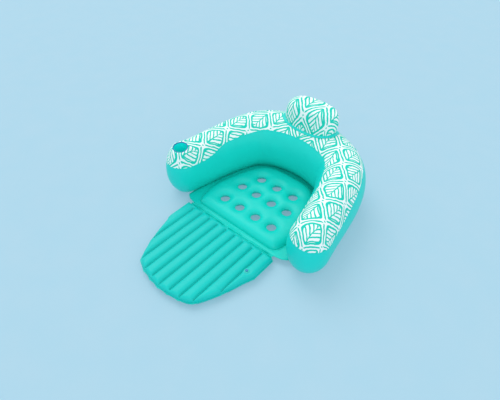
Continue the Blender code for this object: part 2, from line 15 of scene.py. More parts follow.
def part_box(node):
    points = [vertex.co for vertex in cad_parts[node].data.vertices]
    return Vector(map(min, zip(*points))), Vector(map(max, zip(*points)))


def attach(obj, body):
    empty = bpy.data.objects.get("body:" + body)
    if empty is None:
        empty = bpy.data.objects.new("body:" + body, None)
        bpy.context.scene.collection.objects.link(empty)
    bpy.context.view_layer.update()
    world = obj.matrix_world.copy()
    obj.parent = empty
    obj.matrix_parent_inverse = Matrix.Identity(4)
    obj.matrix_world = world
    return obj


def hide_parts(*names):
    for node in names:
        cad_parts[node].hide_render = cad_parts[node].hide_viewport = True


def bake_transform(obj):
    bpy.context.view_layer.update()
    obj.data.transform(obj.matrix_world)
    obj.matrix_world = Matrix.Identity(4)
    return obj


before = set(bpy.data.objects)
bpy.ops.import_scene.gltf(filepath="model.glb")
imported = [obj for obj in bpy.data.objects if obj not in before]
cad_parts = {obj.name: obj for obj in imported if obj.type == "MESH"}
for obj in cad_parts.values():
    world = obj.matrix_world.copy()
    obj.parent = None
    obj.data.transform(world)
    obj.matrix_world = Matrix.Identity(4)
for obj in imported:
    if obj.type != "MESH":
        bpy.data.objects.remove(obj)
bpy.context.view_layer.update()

# ---------------------------------------------------------------- sizes, most of them the CAD model's
MID_PLANE = 0.034              # level of the seat's and footrest's border welds
RING_SPINE = ((0.480, -0.0885), (0.392, 0.315), (0.269, 0.496), (0.0, 0.567))
HALF_WIDTH = (0.120, 0.168)    # of the ring at its arms' ends, and at the back; so are the next two
UPPER_HEIGHT = (0.1945, 0.216)
LOWER_HEIGHT = (0.1595, 0.181)
ROUNDNESS = 2.12
INNER_SEAM = (27.0, 45.0)      # degrees up from the ring's widest level: arms' ends, back
OUTER_SEAM = (21.0, 54.0)
BOTTOM_SEAM = -50.0
UNDERSIDE_FLAT = -75.0
SKIN = 0.0012                  # printed cloth on vinyl
THIN_SKIN = 0.0010             # plain vinyl
SHEET_GAP = 0.0004             # between two welded sheets
PAD_BORDER = ((0.0, -0.1565), (0.140, -0.1565), (0.265, -0.1565), (0.303, -0.136), (0.323, -0.080),
              (0.333, 0.000), (0.319, 0.097), (0.275, 0.246), (0.216, 0.352), (0.122, 0.404), (0.0, 0.411))
PAD_TOP = 0.072
PAD_BOTTOM = 0.010
SKIRT_FRONT = ((0.0, -0.1805), (0.325, -0.1805), (0.372, -0.170), (0.402, -0.150))
DRAIN_RADIUS = 0.030
DRAIN_HEIGHT = 0.055           # 5 mm above the CAD model's
DRAIN_WELD = 0.003             # width of the flat weld round a hole
DRAIN_LIP = (0.0012, 0.0085)   # its lap turns down into the hole: how far in, how far down
DRAIN_ROWS = ((-0.036, (-0.1865, -0.0635, 0.0635, 0.1865)),
              (0.117, (-0.180, -0.061, 0.061, 0.180)),
              (0.249, (-0.129, 0.0, 0.129)))
TUBE_PITCH = 0.0672
TUBE_COUNT = 10
FOOT_HINGE_Y = -0.2065
FOOT_TIP = ((0.336, -0.360), (0.316, -0.413), (0.288, -0.505), (0.243, -0.612), (0.202, -0.676),
            (0.135, -0.708), (0.0, -0.7269))
FOOT_TOP = 0.064
FOOT_FLANGE = 0.007
WEB_SIDE = 0.322
WEB_BACK_Y = -0.1795
PILLOW_CENTRE = (0.0, 0.567)
PILLOW_HALF = (0.174, 0.086)
PILLOW_SQUARENESS = (0.66, 0.78)
PILLOW_TOP = 0.528
PILLOW_CURVE = 0.10
PILLOW_FLANGE = 0.011
PILLOW_LEAN = 0.012
PILLOW_PROFILE = ((1.0, 0.0), (1.025, 0.26), (0.995, 0.60), (0.88, 0.87), (0.60, 0.985), (0.0, 1.0))
CUP_CENTRE = (-0.470, -0.112)
CUP_RADIUS = 0.0415
CUP_DEPTH = 0.088
CUP_RIM_WIDTH = 0.0055

# ---------------------------------------------------------------- camera and light
LOOK_AT = (-0.01887, 0.02662, 0.1315)
CAMERA_AZIMUTH = 41.3
CAMERA_ELEVATION = 43.3
CAMERA_DISTANCE = 2.442
LENS = 29.16
LENS_SHIFT = (-0.004, -0.008)
FLOOR_HALF = 7.0
FLOOR_TINTS = ((0.235, 0.365, 0.435, 1.0), (0.2758, 0.3743, 0.4334, 1.0))
FLOOR_GLOW = (0.165, 0.280, 0.345, 1.0)


def add_camera():
    azimuth = math.radians(CAMERA_AZIMUTH)
    elevation = math.radians(CAMERA_ELEVATION)
    back = Vector((math.sin(azimuth) * math.cos(elevation), -math.cos(azimuth) * math.cos(elevation),
                   math.sin(elevation)))
    data = bpy.data.cameras.new("camera")
    data.sensor_width = 36.0
    data.lens = LENS
    data.shift_x, data.shift_y = LENS_SHIFT
    camera = bpy.data.objects.new("camera", data)
    bpy.context.scene.collection.objects.link(camera)
    camera.location = Vector(LOOK_AT) + back * CAMERA_DISTANCE
    camera.rotation_euler = (-back).to_track_quat("-Z", "Y").to_euler()
    bpy.context.scene.camera = camera


def add_soft_light(name, towards, strength, spread, tint):
    """A wide, even light from a direction, as from a large softbox far away."""
    data = bpy.data.lights.new(name, "SUN")
    data.angle = math.radians(spread)
    data.energy = strength
    data.color = tint
    light = bpy.data.objects.new(name, data)
    bpy.context.scene.collection.objects.link(light)
    light.location = Vector(towards) * 3.0
    light.rotation_euler = Vector(towards).to_track_quat("Z", "Y").to_euler()


def add_studio():
    world = bpy.data.worlds.new("studio")
    world.use_nodes = True
    background = world.node_tree.nodes["Background"]
    background.inputs["Color"].default_value = colour(0.90, 0.96, 1.0)
    background.inputs["Strength"].default_value = 0.84
    bpy.context.scene.world = world
    add_soft_light("key", (-0.55, 0.20, 0.81), 0.95, 42.0, (1.0, 0.99, 0.97))
    add_soft_light("fill", (0.66, -0.50, 0.56), 0.50, 70.0, (0.95, 0.99, 1.0))

    bm = bmesh.new()
    bmesh.ops.create_grid(bm, x_segments=1, y_segments=1, size=FLOOR_HALF)
    mesh = bpy.data.meshes.new("floor")
    bm.to_mesh(mesh)
    bm.free()
    floor = bpy.data.objects.new("floor", mesh)
    bpy.context.scene.collection.objects.link(floor)
    floor.data.materials.append(floor_material())


# ---------------------------------------------------------------- material nodes
class Value:
    """A number that a material works out at each point. Doing sums with it adds their nodes."""

    def __init__(self, nodes, socket):
        self.nodes = nodes
        self.socket = socket

    def __add__(self, other):
        return self.nodes.math("ADD", self, other)

    def __sub__(self, other):
        return self.nodes.math("SUBTRACT", self, other)

    def __rsub__(self, other):
        return self.nodes.math("SUBTRACT", other, self)

    def __mul__(self, other):
        return self.nodes.math("MULTIPLY", self, other)

    def __truediv__(self, other):
        return self.nodes.math("DIVIDE", self, other)

    def __pow__(self, power):
        return self.nodes.math("POWER", self, power)

    def __abs__(self):
        return self.nodes.math("ABSOLUTE", self)


class Nodes:
    """Short calls for building a material's node tree. Inputs are values or plain numbers."""

    def __init__(self, name):
        self.material = bpy.data.materials.new(name)
        self.material.use_nodes = True
        self.tree = self.material.node_tree
        self.shader = self.tree.nodes["Principled BSDF"]

    def put(self, socket, value):
        if isinstance(value, Value):
            self.tree.links.new(value.socket, socket)
        else:
            socket.default_value = value

    def add(self, kind, inputs=None, output=0, **settings):
        node = self.tree.nodes.new(kind)
        for key, value in settings.items():
            setattr(node, key, value)
        for key, value in (inputs or {}).items():
            self.put(node.inputs[key], value)
        return Value(self, node.outputs[output])

    def math(self, operation, *values, clamp=False):
        return self.add("ShaderNodeMath", dict(enumerate(values)), operation=operation, use_clamp=clamp)

    def vectors(self, operation, first, second):
        return self.add("ShaderNodeVectorMath", {0: first, 1: second}, operation=operation)

    def across_and_along(self, vector):
        node = self.add("ShaderNodeSeparateXYZ", {0: vector}).socket.node
        return Value(self, node.outputs[0]), Value(self, node.outputs[1])

    def step(self, value, low, high):
        """0 where value is below low, 1 above high, smooth between them."""
        return self.add("ShaderNodeMapRange", {"Value": value, "From Min": low, "From Max": high},
                        interpolation_type="SMOOTHSTEP")

    def mix(self, share, first, second):
        return self.add("ShaderNodeMix", {0: share, 6: first, 7: second}, 2, data_type="RGBA")

    def noise(self, vector, scale, detail=3.0, output=0):
        return self.add("ShaderNodeTexNoise", {"Vector": vector, "Scale": scale, "Detail": detail}, output)

    def bump(self, height, distance, strength=1.0, below=None):
        inputs = {"Height": height, "Distance": distance, "Strength": strength}
        if below is not None:
            inputs["Normal"] = below
        return self.add("ShaderNodeBump", inputs)

    def place(self):
        return self.add("ShaderNodeTexCoord", output=3)

    def surface(self, tint, rough, normal=None, **values):
        self.put(self.shader.inputs["Base Color"], tint)
        self.put(self.shader.inputs["Roughness"], rough)
        if normal is not None:
            self.put(self.shader.inputs["Normal"], normal)
        for key, value in values.items():
            self.put(self.shader.inputs[key.replace("_", " ")], value)
        return self.material


def colour(red, green, blue, share=1.0):
    return (red * share, green * share, blue * share, 1.0)


def floor_material():
    """Pale blue-grey paint that glows a little, so that the drain holes don't look black."""
    nodes = Nodes("floor_paint")
    mottle = nodes.noise(nodes.place(), 6.0)
    tint = nodes.mix(mottle, *FLOOR_TINTS)
    return nodes.surface(tint, 0.8, Specular_IOR_Level=0.1, Emission_Color=FLOOR_GLOW,
                         Emission_Strength=1.0)


def vinyl_material(name, rgb, rough=0.38):
    """Calendered vinyl: a soft satin gloss, faint waves, an embossed grain and a slight mottle."""
    nodes = Nodes(name)
    place = nodes.place()
    waves = nodes.noise(place, 9.0, 2.0)
    mottle = nodes.noise(place, 46.0, 3.0)
    cells = nodes.add("ShaderNodeTexVoronoi", {"Vector": place, "Scale": 620.0}, feature="SMOOTH_F1")
    tint = nodes.mix(waves, colour(*rgb, 0.95), colour(*rgb, 1.05))
    tint = nodes.mix(mottle * 0.22, tint, colour(*rgb, 0.90))
    gloss = mottle * 0.10 + (rough - 0.05)
    soft = nodes.bump(waves, 0.004, 0.35)
    fine = nodes.bump(mottle, 0.0006, 0.35, soft)
    grained = nodes.bump(cells, 0.00012, 0.5, fine)
    return nodes.surface(tint, gloss, grained, Specular_IOR_Level=0.24)


def moulded_material(name, rgb, rough):
    """Injection-moulded soft plastic with a fine spark-eroded texture."""
    nodes = Nodes(name)
    place = nodes.place()
    grain = nodes.noise(place, 900.0, 2.0)
    cloud = nodes.noise(place, 60.0, 2.0)
    tint = nodes.mix(cloud, colour(*rgb, 0.92), colour(*rgb, 1.08))
    gloss = grain * 0.12 + (rough - 0.06)
    return nodes.surface(tint, gloss, nodes.bump(grain, 0.0001, 0.4))


# The printed leaf lattice, in metres on the flat cloth. Each leaf's cell has six sides, two short.
LEAF_AXIS = 3.0           # degrees from the float's length to the leaves' length
CELL_ACROSS = 0.0920      # between two columns of leaves
CELL_HALF = 0.1010        # half the length of a leaf's cell
OUTLINE_GAP = 0.0045      # cloth left teal between two outlines, on each side
OUTLINE = 0.0082          # width of a cell's white outline
BAND = 0.0098             # teal band inside the outline
VEIN_PITCH = 0.0290
VEIN = 0.0112
VEIN_SLOPE = 1.12         # against the slope of the cell's own sides
VEIN_CURVE = 4.2
VEIN_STAGGER = 0.22       # between the two sides of the midrib, in vein pitches
MIDRIB = 0.0058
WOBBLE = 0.0125           # how far the drawing strays from its lattice
INK_EDGE = 0.0007         # half the blur where the ink ends
THREAD_PITCH = 0.0011
PRINT_WHITE = (0.945, 0.985, 0.985)
PRINT_TEAL = (0.003, 0.660, 0.510)


def nearest_cell(nodes, spot):
    """Offset across and along from the middle of a place's cell, and -1 or 1 for its leaf's way up."""
    across, along = nodes.across_and_along(spot)
    across = across / (2 * CELL_ACROSS)
    along = along / (2 * CELL_HALF)
    cells = []
    for offset in (0.5, 1.0):
        x = (nodes.math("FRACT", across + offset) - 0.5) * (2 * CELL_ACROSS)
        y = (nodes.math("FRACT", along + offset) - 0.5) * (2 * CELL_HALF)
        cells.append((x, y, x * x + y * y))
    (x, y, away), (other_x, other_y, other_away) = cells
    other = nodes.math("LESS_THAN", other_away, away)
    return x + other * (other_x - x), y + other * (other_y - y), other * 2.0 - 1.0


def leaf_veins(nodes, across, along):
    """1 on a leaf's veins and midrib."""
    side = abs(across)
    fall = side * (CELL_HALF / CELL_ACROSS * VEIN_SLOPE) - side * side * VEIN_CURVE
    stagger = nodes.math("SIGN", across) * (VEIN_PITCH * VEIN_STAGGER)
    ladder = (along - fall + (stagger + 0.4)) / VEIN_PITCH
    from_vein = nodes.math("PINGPONG", ladder, 0.5) * VEIN_PITCH
    vein = nodes.step(from_vein, VEIN / 2 + INK_EDGE, VEIN / 2 - INK_EDGE)
    rib_width = along * -0.028 + MIDRIB / 2
    rib = nodes.step(side - rib_width, INK_EDGE, -INK_EDGE)
    return nodes.math("MAXIMUM", vein, rib)


def leaf_print(nodes, turn, shift, scale):
    """1 on white, 0 on teal: outlined leaf cells in a staggered lattice, with veins and a midrib."""
    uv = nodes.add("ShaderNodeUVMap", uv_map="print")
    stray = nodes.vectors("SUBTRACT", nodes.noise(uv, 30.0, 2.0, output=1), (0.5, 0.5, 0.5))
    stray = nodes.add("ShaderNodeVectorMath", {0: stray, "Scale": WOBBLE}, operation="SCALE")
    spot = nodes.add("ShaderNodeMapping", {"Vector": nodes.vectors("ADD", uv, stray),
                                           "Location": (*shift, 0.0), "Scale": (*scale, 1.0),
                                           "Rotation": (0.0, 0.0, math.radians(turn))})
    across, along, way_up = nearest_cell(nodes, spot)

    pitch = math.hypot(CELL_ACROSS, CELL_HALF)
    lean = across * (2 * CELL_ACROSS / pitch ** 2)
    rise = along * (2 * CELL_HALF / pitch ** 2)
    sides = [abs(lean + rise), abs(lean - rise), abs(across / CELL_ACROSS)]
    slant = nodes.math("MAXIMUM", *sides[:2])
    sharp = nodes.math("MAXIMUM", slant, sides[2])
    second = nodes.math("MAXIMUM", nodes.math("MINIMUM", *sides[:2]), nodes.math("MINIMUM", slant, sides[2]))
    to_corner = 1.0 - second
    along = along * way_up

    def rounded(power):
        first, other, third = [side ** power for side in sides]
        return (first + other + third) ** (1 / power)

    tip = nodes.step(along * -1.0, 0.02, 0.06)
    leaf_size = sharp * tip + rounded(5.0) * (1.0 - tip)
    from_edge = (1.0 - sharp) * (pitch / 2)
    from_curve = (1.0 - rounded(9.0)) * (pitch / 2)
    from_rim = (1.0 - leaf_size) * (pitch / 2)
    gap = nodes.step(to_corner, 0.02, 0.15) * OUTLINE_GAP

    end = OUTLINE_GAP + OUTLINE
    outline = (nodes.step(from_edge - gap, -INK_EDGE, INK_EDGE)
               * nodes.step(from_curve, end + INK_EDGE, end - INK_EDGE))
    leaf = nodes.step(from_rim, end + BAND - INK_EDGE, end + BAND + INK_EDGE)
    lobes = leaf * (1.0 - leaf_veins(nodes, across, along))
    return nodes.math("MAXIMUM", outline, lobes, clamp=True)


def print_material(name, turn, shift, scale=(1.0, 1.0)):
    """Brushed cloth bonded to vinyl, with the leaf print, a plain weave and a soft nap."""
    nodes = Nodes(name)
    white = leaf_print(nodes, turn, shift, scale)
    uv = nodes.add("ShaderNodeUVMap", uv_map="print")
    warp, weft = [nodes.math("SINE", way * (2 * math.pi / THREAD_PITCH))
                  for way in nodes.across_and_along(uv)]
    nap = nodes.noise(uv, 420.0, 3.0)
    waves = nodes.noise(uv, 26.0, 2.0)
    teal = nodes.mix(nap, colour(*PRINT_TEAL, 0.90), colour(*PRINT_TEAL, 1.10))
    pale = nodes.mix(nap, colour(*PRINT_WHITE, 0.95), colour(*PRINT_WHITE, 1.05))
    tint = nodes.mix(white, teal, pale)
    soft = nodes.bump(waves, 0.0030, 0.25)
    woven = nodes.bump(warp * weft, 0.00012, 0.30, soft)
    napped = nodes.bump(nap, 0.00025, 0.25, woven)
    return nodes.surface(tint, nap * 0.16 + 0.52, napped, Specular_IOR_Level=0.22)


# ---------------------------------------------------------------- meshes
def make_piece(name, mesh, material, body="float"):
    obj = bpy.data.objects.new(name, mesh)
    bpy.context.scene.collection.objects.link(obj)
    mesh.materials.append(material)
    for face in mesh.polygons:
        face.use_smooth = True
    if body is not None:
        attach(obj, body)
    return obj


def finish_mesh(bm, name):
    bmesh.ops.remove_doubles(bm, verts=bm.verts, dist=0.00002)
    bmesh.ops.recalc_face_normals(bm, faces=bm.faces)
    mesh = bpy.data.meshes.new(name)
    bm.to_mesh(mesh)
    bm.free()
    return mesh


def loft(name, rows, closed=False, uvs=None):
    """Skin rows of points. uvs holds a flat place on the cloth for each point, in the same rows."""
    bm = bmesh.new()
    layer = bm.loops.layers.uv.new("print") if uvs is not None else None
    grid = [[bm.verts.new(point) for point in row] for row in rows]
    count = len(rows)
    for i in range(count if closed else count - 1):
        j = (i + 1) % count
        for k in range(len(rows[i]) - 1):
            corners = ((i, k), (i, k + 1), (j, k + 1), (j, k))
            face = bm.faces.new([grid[row][place] for row, place in corners])
            if layer is not None:
                for loop, (row, place) in zip(face.loops, corners):
                    loop[layer].uv = uvs[row][place]
    bmesh.ops.dissolve_degenerate(bm, edges=bm.edges, dist=0.00001)
    return finish_mesh(bm, name)


def apply_modifiers(obj):
    """Bake the modifiers into the mesh."""
    depsgraph = bpy.context.evaluated_depsgraph_get()
    mesh = bpy.data.meshes.new_from_object(obj.evaluated_get(depsgraph))
    obj.modifiers.clear()
    obj.data = mesh
    return obj


def thicken(obj, thickness):
    modifier = obj.modifiers.new("Thickness", "SOLIDIFY")
    modifier.thickness = thickness
    modifier.offset = 0.0
    return apply_modifiers(obj)


def lathe(name, profile, material, body, matrix=None, segments=72):
    """Turn an outline of (radius, height) points round Z."""
    rows = []
    for step in range(segments):
        turn = 2 * math.pi * step / segments
        rows.append([(radius * math.cos(turn), radius * math.sin(turn), height)
                     for radius, height in profile])
    mesh = loft(name, rows, closed=True)
    if matrix is not None:
        mesh.transform(matrix)
    obj = make_piece(name, mesh, material, body)
    bevel_normals(obj)
    return obj


def bevel_normals(obj, degrees=38.0):
    """Keep corners sharper than an angle crisp."""
    bm = bmesh.new()
    bm.from_mesh(obj.data)
    for edge in bm.edges:
        edge.smooth = not (edge.is_manifold and edge.calc_face_angle(0.0) > math.radians(degrees))
    bm.to_mesh(obj.data)
    bm.free()


def curve_through(before, start, end, after, steps):
    """Points from start to end on a smooth curve that also runs through the points beside them."""
    return interpolate_bezier(start, start + (end - before) / 6, end - (after - start) / 6, end, steps)


def flat_vectors(points):
    return [Vector((x, y, 0.0)) for x, y in points]


def as_line(vectors):
    return np.array([(vector.x, vector.y) for vector in vectors])


def length_along(line):
    """How far along a line each of its points is."""
    return np.concatenate([[0.0], np.cumsum(np.linalg.norm(np.diff(line, axis=0), axis=1))])


def smooth_outline(points, count):
    """Resample a closed outline to evenly spaced points on a smooth curve through it."""
    knots = flat_vectors(points)
    dense = []
    for k in range(len(knots)):
        beside = [knots[(k + step) % len(knots)] for step in (-1, 0, 1, 2)]
        dense += curve_through(*beside, 25)[:-1]
    return resample(as_line(dense + dense[:1]), count)


def resample(line, count, closed=True):
    length = length_along(line)
    at = np.linspace(0.0, length[-1], count, endpoint=not closed)
    return points_at(line, length, at)


def points_at(line, length, at):
    return np.stack([np.interp(at, length, line[:, 0]), np.interp(at, length, line[:, 1])], axis=1)


def inset(outline, distance):
    ahead = np.roll(outline, -1, axis=0) - np.roll(outline, 1, axis=0)
    ahead /= np.linalg.norm(ahead, axis=1)[:, None]
    inward = np.stack([-ahead[:, 1], ahead[:, 0]], axis=1)
    return outline + inward * distance


def between(ends, share):
    return ends[0] + (ends[1] - ends[0]) * share


def ease(value):
    value = min(max(value, 0.0), 1.0)
    return value * value * (3 - 2 * value)


def distance_to_line(points, line):
    """Distance of each point to the nearest piece of an open line."""
    start, side = line[:-1], np.diff(line, axis=0)
    best = np.full(len(points), 10.0)
    for origin, step in zip(start, side):
        to_point = points - origin
        share = np.clip(to_point @ step / max(float(step @ step), 1e-12), 0.0, 1.0)
        best = np.minimum(best, np.linalg.norm(to_point - share[:, None] * step, axis=1))
    return best


def distance_to_outline(points, outline):
    return distance_to_line(points, np.vstack([outline, outline[:1]]))


def soft_minimum(distances, softness):
    return -softness * np.log(np.sum(np.exp(-np.array(distances) / softness), axis=0))


def is_inside(points, outline):
    inside = np.zeros(len(points), bool)
    for (x1, y1), (x2, y2) in zip(outline, np.roll(outline, -1, axis=0)):
        if y1 == y2:
            continue
        crossed = (y1 > points[:, 1]) != (y2 > points[:, 1])
        inside ^= crossed & (points[:, 0] < x1 + (points[:, 1] - y1) / (y2 - y1) * (x2 - x1))
    return inside


def filled_sheet(name, loops, points, heights, keep=None):
    """Triangulate loops and loose points. heights(points) lifts them, keep(middles) says what stays."""
    flat = []
    edges = []
    for line in loops:
        first = len(flat)
        flat += [Vector((float(x), float(y))) for x, y in line]
        edges += [(first + k, first + (k + 1) % len(line)) for k in range(len(line))]
    flat += [Vector((float(x), float(y))) for x, y in points]
    flat, _, faces, _, _, _ = delaunay_2d_cdt(flat, edges, [], 1, 1e-7)
    places = np.array([(point.x, point.y) for point in flat])
    high = heights(places)
    middles = np.array([places[list(face)].mean(axis=0) for face in faces])
    stays = np.ones(len(faces), bool) if keep is None else keep(middles)
    bm = bmesh.new()
    verts = [bm.verts.new((x, y, z)) for (x, y), z in zip(places, high)]
    for number in np.flatnonzero(stays):
        bm.faces.new([verts[k] for k in faces[number]])
    bmesh.ops.delete(bm, geom=[vert for vert in verts if not vert.link_faces], context="VERTS")
    return finish_mesh(bm, name)


def join_meshes(name, *meshes):
    bm = bmesh.new()
    for mesh in meshes:
        bm.from_mesh(mesh)
    return finish_mesh(bm, name)


def face_up(mesh, up=True):
    """Turn an open sheet so that most of its faces look up, or down."""
    total = sum(face.normal.z * face.area for face in mesh.polygons)
    if (total > 0) != up:
        mesh.flip_normals()
    return mesh


# ---------------------------------------------------------------- ring
SPINE_STEPS = 34
NOSE_STEPS = 26
SMOOTHING = 80            # passes that even out the bend of the spine
NEAR_GROUND = 0.0006
SEAM_WIDTH = 0.0064       # the flat welded lap between two panels
SEAM_HEIGHT = 0.0011
SEAM_LAP = ((1.15, -0.4), (0.85, 0.85), (0.3, 1.0), (-0.3, 1.0), (-0.85, 0.85), (-1.15, -0.4))
WAVES = (0.0011, 6.5)     # height and closeness of the skin's soft waves
# Puckers along the top seams and the bottom seam: height, closeness, reach, metres to a degree, layer
TOP_PUCKERS = (0.0009, 62.0, 0.020, 0.0026, 0.0)
BOTTOM_PUCKERS = (0.0014, 48.0, 0.022, 0.0030, 3.0)
CUP_LEVEL_REACH = 0.080   # the panel is drawn up to the cup's rim inside this radius
CUP_TILT = Matrix.Rotation(math.radians(7.0), 4, (0.75, 0.66, 0.0))


def spine_points():
    """The ring's centre line from the right arm's end, round the back, to the left arm's end."""
    right = flat_vectors(RING_SPINE)
    before = [2 * right[0] - right[1]] + right[:-1]
    after = right[1:] + [Vector((-right[-2].x, right[-2].y, 0.0))]
    half = []
    for k in range(len(right) - 1):
        half += curve_through(before[k], right[k], right[k + 1], after[k + 1], SPINE_STEPS + 1)[:-1]
    half.append(right[-1])
    left = [Vector((-point.x, point.y, 0.0)) for point in reversed(half[:-1])]
    line = as_line(half + left)
    for _ in range(SMOOTHING):
        line[1:-1] = (line[:-2] + 2 * line[1:-1] + line[2:]) / 4
    return line


def spine_fraction(points):
    """0 at the arm ends, 1 at the middle of the back, eased."""
    length = length_along(points)
    way = np.minimum(length, length[-1] - length) / (length[-1] / 2)
    return way * way * (3 - 2 * way)


SPINE = spine_points()
FRACTION = spine_fraction(SPINE)


def ring_stations():
    """Places round the ring's outline: centre, outward direction, fraction, inner share."""
    ahead = np.gradient(SPINE, axis=0)
    ahead /= np.linalg.norm(ahead, axis=1)[:, None]
    side = np.stack([ahead[:, 1], -ahead[:, 0]], axis=1)
    last = len(SPINE) - 1
    stations = [(SPINE[k], side[k], FRACTION[k], 0.0) for k in range(last + 1)]
    turns = [math.pi * step / NOSE_STEPS for step in range(1, NOSE_STEPS)]
    stations += [(SPINE[last], side[last] * math.cos(turn) + ahead[last] * math.sin(turn), 0.0,
                  (1 - math.cos(turn)) / 2) for turn in turns]
    stations += [(SPINE[k], -side[k], FRACTION[k], 1.0) for k in range(last, -1, -1)]
    stations += [(SPINE[0], -side[0] * math.cos(turn) - ahead[0] * math.sin(turn), 0.0,
                  (1 + math.cos(turn)) / 2) for turn in turns]
    return stations


def seam_angle(station):
    _, _, fraction, inner = station
    inner_angle = between(INNER_SEAM, ease(5 * fraction))
    return between(OUTER_SEAM, fraction) * (1 - inner) + inner_angle * inner


def section(station, degrees):
    """Reach from the centre line, height, and the outward normal as (reach, height)."""
    _, _, fraction, _ = station
    angle = math.radians(degrees)
    power = 2 / ROUNDNESS
    width = between(HALF_WIDTH, fraction)
    lower = between(LOWER_HEIGHT, fraction)
    upper = between(UPPER_HEIGHT, fraction)
    cosine = max(0.0, math.cos(angle))
    sine = abs(math.sin(angle))
    reach = width * cosine ** power
    tall = upper if degrees >= 0.0 else lower
    rise = math.copysign(tall * sine ** power, degrees)
    height = max(lower + rise, NEAR_GROUND)
    if degrees <= UNDERSIDE_FLAT:
        height = NEAR_GROUND
    normal = Vector((cosine ** (2 - power) / width, math.copysign(sine ** (2 - power) / tall, degrees)))
    return reach, height, normal.normalized()


def puckers(x, y, degrees_away, kind):
    height, closeness, reach, metres, layer = kind
    fade = math.exp(-abs(degrees_away) * metres / reach)
    return height * noise.noise(Vector((x, y, layer)) * closeness) * fade


def ring_skin(station, degrees, lift=0.0):
    """A point of the ring's skin, with the soft waves and seam puckers of welded vinyl."""
    centre, direction, _, _ = station
    reach, height, normal = section(station, degrees)
    x, y = centre + direction * reach
    rough = WAVES[0] * noise.noise(Vector((x, y, height)) * WAVES[1])
    rough += puckers(x, y, degrees - seam_angle(station), TOP_PUCKERS)
    rough += puckers(x, y, degrees - BOTTOM_SEAM, BOTTOM_PUCKERS)
    push = rough * ease((height - 0.002) / 0.03) + lift
    return (x + direction[0] * normal.x * push, y + direction[1] * normal.x * push, height + normal.y * push)


def ring_rows(stations, first, last, steps):
    """Rows of skin points between two angles, with their place on the flat cloth."""
    rows = []
    flats = []
    for station in stations:
        centre, direction, _, _ = station
        row = []
        flat = []
        arc = 0.0
        before = section(station, first(station))[:2]
        for step in range(steps + 1):
            angle = between((first(station), last(station)), step / steps)
            now = section(station, angle)[:2]
            arc += math.hypot(now[0] - before[0], now[1] - before[1])
            before = now
            row.append(ring_skin(station, angle))
            flat.append(tuple(centre + direction * arc))
        rows.append(row)
        flats.append(flat)
    return rows, flats


def ring_height(x, y):
    """Height of the ring's upper skin over a point, without its waves."""
    along = np.diff(SPINE, axis=0)
    to_point = np.array((x, y)) - SPINE[:-1]
    share = np.clip(np.sum(to_point * along, axis=1) / np.sum(along * along, axis=1), 0.0, 1.0)
    away = np.linalg.norm(to_point - along * share[:, None], axis=1)
    nearest = int(np.argmin(away))
    fraction = between((FRACTION[nearest], FRACTION[nearest + 1]), share[nearest])
    inside = max(0.0, 1 - (away[nearest] / between(HALF_WIDTH, fraction)) ** ROUNDNESS)
    return between(LOWER_HEIGHT, fraction) + between(UPPER_HEIGHT, fraction) * inside ** (1 / ROUNDNESS)


def at_bottom_seam(_):
    return BOTTOM_SEAM


def make_ring(cloth, vinyl):
    stations = ring_stations()
    rows, flats = ring_rows(stations, lambda _: 90.0, seam_angle, 22)
    top = make_piece("ring_printed_top", loft("ring_printed_top", rows, True, flats), cloth)
    thicken(top, SKIN)
    open_for_cup(top)
    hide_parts("ring_top_panel")

    rows, _ = ring_rows(stations, seam_angle, at_bottom_seam, 26)
    walls = make_piece("ring_walls", loft("ring_walls", rows, True), vinyl)
    settle_round_valve(walls, "ring")
    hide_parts("ring_inner_wall", "ring_outer_wall")

    rows, _ = ring_rows(stations, at_bottom_seam, lambda _: -90.0, 12)
    bottom = make_piece("ring_underside", loft("ring_underside", rows, True), vinyl)
    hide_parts("ring_bottom_panel")

    for name, angle in (("ring_print_weld", seam_angle), ("ring_bottom_weld", at_bottom_seam)):
        weld = make_piece(name, loft(name, weld_rows(stations, angle), True), vinyl)


def weld_rows(stations, angle):
    """A low flat lap along a seam, pressed by the welding bar."""
    rows = []
    for number, station in enumerate(stations):
        width = between(HALF_WIDTH, station[2])
        spread = math.degrees(SEAM_WIDTH / 2 / (width * 1.15))
        pressed = SEAM_HEIGHT * (0.9 + 0.1 * math.sin(number * 1.9))
        rows.append([ring_skin(station, angle(station) + offset * spread, pressed * high - 0.0002)
                     for offset, high in SEAM_LAP])
    return rows


def open_for_cup(top):
    """Cut the cup holder's hole and level the panel round it up to the rim."""
    x, y = CUP_CENTRE
    crown = ring_height(x, y)
    hole = CUP_RADIUS + CUP_RIM_WIDTH - 0.0008
    bm = bmesh.new()
    bmesh.ops.create_cone(bm, cap_ends=True, segments=96, radius1=hole, radius2=hole, depth=0.14,
                          matrix=Matrix.Translation((x, y, crown)) @ CUP_TILT)
    mesh = bpy.data.meshes.new("cup_hole")
    bm.to_mesh(mesh)
    bm.free()
    cutter = bpy.data.objects.new("cup_hole", mesh)
    bpy.context.scene.collection.objects.link(cutter)
    modifier = top.modifiers.new("Cup hole", "BOOLEAN")
    modifier.operation = "DIFFERENCE"
    modifier.solver = "EXACT"
    modifier.object = cutter
    apply_modifiers(top)
    bpy.data.objects.remove(cutter, do_unlink=True)
    for vertex in top.data.vertices:
        away = math.hypot(vertex.co.x - x, vertex.co.y - y)
        level = ease((CUP_LEVEL_REACH - away) / (CUP_LEVEL_REACH - hole))
        plane = crown + SKIN + (CUP_TILT @ Vector((vertex.co.x - x, vertex.co.y - y, 0.0))).z
        vertex.co.z += (plane - vertex.co.z) * level


